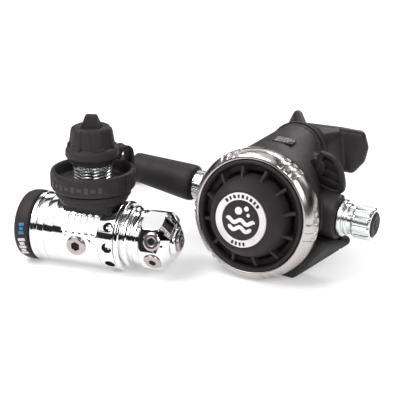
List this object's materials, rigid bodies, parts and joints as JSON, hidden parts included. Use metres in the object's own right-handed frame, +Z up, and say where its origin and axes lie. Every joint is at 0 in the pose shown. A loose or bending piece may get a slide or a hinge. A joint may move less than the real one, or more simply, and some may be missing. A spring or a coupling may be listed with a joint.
{
  "type": "scuba regulator set",
  "caption": "Scuba regulator set: chrome first stage with a DIN connector and swivel turret, low pressure hose and black second stage with mouthpiece.",
  "frame": {"origin": "Centre of the bottom of the set's bounding box without the hose, on the surface that the set lies on.", "axes": "+X along the first stage's axis towards its swivel turret, +Z up along the DIN connector, +Y to the rear, so the second stage's face looks to -Y."},
  "size_m": [0.2263, 0.1888, 0.0923],
  "materials": {
    "chrome": "polished chrome over brass",
    "spring_steel": "bright stainless wire",
    "brass": "machined",
    "black_plastic": "satin, slightly warm black",
    "black_rubber": "satin moulded rubber",
    "silicone": "soft, slightly glossy black silicone",
    "white_plastic": "matte",
    "badge_face": "glossy white ring round a dark centre",
    "label": "printed plate"
  },
  "bodies": {
    "set": {"main_body": "chrome", "flange_ring": "chrome", "end_cap": "black_plastic", "cap_disc": "black_plastic", "spanner_ring": "chrome", "ridge_ring": "chrome", "main_spring": "spring_steel", "seat_orifice": "brass", "poppet_spring": "spring_steel", "port_plug_front": "chrome", "port_plug_rear": "chrome", "saddle": "black_plastic", "strap": "black_rubber", "inlet_tube": "chrome", "inlet_filter": "brass", "din_oring": "black_rubber", "turret_bolt": "brass", "hose_fitting": "chrome", "hose": "black_rubber", "hose_stem": "chrome", "hose_sleeve": "black_rubber"},
    "handwheel": {"handwheel": "black_rubber", "din_stud": "chrome"},
    "dust_cap": {"dust_cap": "black_rubber"},
    "turret": {"turret": "chrome", "lp_plug_1": "chrome", "lp_plug_2": "chrome", "lp_plug_3": "chrome", "lp_plug_4": "chrome", "axial_plug": "chrome"},
    "thrust_train": {"main_diaphragm": "black_rubber", "push_pin": "brass", "inlet_poppet": "white_plastic"},
    "swivel_nut": {"swivel_nut": "chrome"},
    "second_stage": {"case": "black_plastic", "front_ring": "chrome", "front_cover": "black_plastic", "purge_spring": "spring_steel", "valve_barrel": "chrome", "orifice_tube": "brass", "gland_ring": "chrome", "demand_spring": "spring_steel", "exhaust_tee": "black_plastic", "mouthpiece": "silicone", "mouth_clamp": "black_plastic", "label_plate": "label"},
    "purge": {"purge_button": "black_plastic", "badge": "badge_face"},
    "diaphragm": {"diaphragm": "silicone"},
    "demand_lever": {"demand_lever": "spring_steel"},
    "poppet": {"demand_poppet": "white_plastic"},
    "screw": {"adjusting_screw": "chrome"},
    "knob": {"knob": "chrome", "knob_insert": "black_plastic"},
    "venturi": {"venturi_lever": "black_plastic", "venturi_vane": "black_plastic"},
    "exhaust_valve": {"exhaust_valve": "silicone"}
  },
  "joints": [
    {"name": "handwheel_spin", "type": "hinge", "parent": "set", "child": "handwheel", "pos_m": [-0.0588, -0.0452, 0.0509], "axis": [0, 0, 1], "continuous": true},
    {"name": "dust_cap_lift", "type": "slide", "parent": "set", "child": "dust_cap", "axis": [0, 0, 1], "range_m": [0, 0.015]},
    {"name": "turret_swivel", "type": "hinge", "parent": "set", "child": "turret", "pos_m": [-0.0248, -0.0452, 0.0209], "axis": [1, 0, 0], "continuous": true},
    {"name": "thrust_train_slide", "type": "slide", "parent": "set", "child": "thrust_train", "axis": [1, 0, 0], "range_m": [0, 0.0005], "stiffness_N_per_m": 6000, "deforming": ["poppet_spring", "main_spring"]},
    {"name": "swivel_nut_spin", "type": "hinge", "parent": "set", "child": "swivel_nut", "pos_m": [-0.00615, 0.0006, 0.04087], "axis": [0.9871, -0.1515, -0.052], "continuous": true},
    {"name": "second_stage_swivel", "type": "hinge", "parent": "set", "child": "second_stage", "pos_m": [0.03925, -0.00637, 0.03847], "axis": [0.9871, -0.1515, -0.052], "range_deg": [-22, 0]},
    {"name": "purge_press", "type": "slide", "parent": "second_stage", "child": "purge", "axis": [0.1452, 0.9835, -0.108], "range_m": [0, 0.0022], "stiffness_N_per_m": 600, "springref_m": -0.002, "deforming": ["purge_spring"]},
    {"name": "diaphragm_travel", "type": "slide", "parent": "second_stage", "child": "diaphragm", "axis": [0.1452, 0.9835, -0.108], "range_m": [0, 0.0022]},
    {"name": "demand_lever_tilt", "type": "hinge", "parent": "second_stage", "child": "demand_lever", "pos_m": [0.04877, -0.01367, 0.03855], "axis": [0.0675, 0.099, 0.9928], "range_deg": [-11.5, 0]},
    {"name": "poppet_slide", "type": "slide", "parent": "second_stage", "child": "poppet", "axis": [0.9871, -0.1515, -0.052], "range_m": [0, 0.00095], "deforming": ["demand_spring"]},
    {"name": "knob_turn", "type": "hinge", "parent": "second_stage", "child": "knob", "pos_m": [0.0965, -0.01516, 0.03546], "axis": [0.9871, -0.1515, -0.052], "range_deg": [-720, 0]},
    {"name": "screw_advance", "type": "slide", "parent": "second_stage", "child": "screw", "axis": [-0.9871, 0.1515, 0.052], "range_m": [0, 0.0021], "deforming": ["demand_spring"]},
    {"name": "venturi_turn", "type": "hinge", "parent": "second_stage", "child": "venturi", "pos_m": [0.0428, 0.00731, 0.06598], "axis": [0.9515, -0.1688, -0.2573], "range_deg": [-90, 0]},
    {"name": "exhaust_valve_lift", "type": "slide", "parent": "second_stage", "child": "exhaust_valve", "axis": [-0.0675, -0.099, -0.9928], "range_m": [0, 0.0012], "stiffness_N_per_m": 60, "springref_m": -0.0005}
  ],
  "couplings": [
    {"joint": "diaphragm_travel", "follows": "purge_press", "ratio": 1},
    {"joint": "demand_lever_tilt", "follows": "purge_press", "rad_per_m": -86.8},
    {"joint": "poppet_slide", "follows": "purge_press", "ratio": 0.41},
    {"joint": "screw_advance", "follows": "knob_turn", "m_per_rad": -0.000159}
  ]
}
